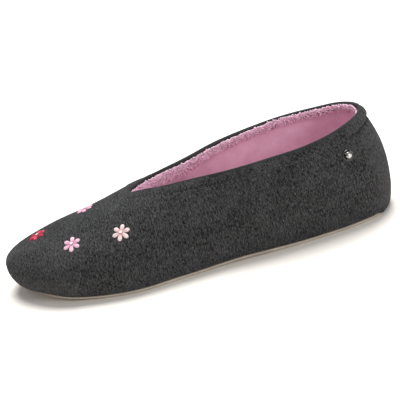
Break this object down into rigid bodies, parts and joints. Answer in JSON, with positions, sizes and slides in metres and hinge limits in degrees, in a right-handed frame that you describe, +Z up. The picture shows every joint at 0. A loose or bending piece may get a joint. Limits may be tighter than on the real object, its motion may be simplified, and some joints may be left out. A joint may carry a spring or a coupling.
{
  "type": "ballerina slipper",
  "caption": "Soft ballerina slipper for the left foot: knit upper with a terry-lined collar on a thin suede sole, with stitched flowers on the vamp and a domed stud at the heel.",
  "frame": {"origin": "middle of the slipper's outline in plan, on the floor under the sole", "axes": "+Z up, +Y towards the heel, so the toe points along -Y; +X is the outer side of the left foot"},
  "size_m": [0.0854, 0.245, 0.0651],
  "materials": {
    "charcoal_knit": "melange knit jersey",
    "beige_suede": "napped suede",
    "pink_lining": "smooth brushed jersey",
    "pink_terry": "plush terry",
    "pink_thread": "satin stitch",
    "pale_pink_thread": "satin stitch",
    "red_thread": "satin stitch",
    "polished_metal": "polished"
  },
  "bodies": {
    "root": {"upper": "charcoal_knit", "outsole": "beige_suede", "insole": "pink_lining", "terry_band": "pink_terry", "flower_side_front": "pink_thread", "flower_side_back": "pale_pink_thread", "flower_ridge_back": "pale_pink_thread", "flower_ridge_front": "red_thread", "heel_stud": "polished_metal"}
  },
  "joints": []
}
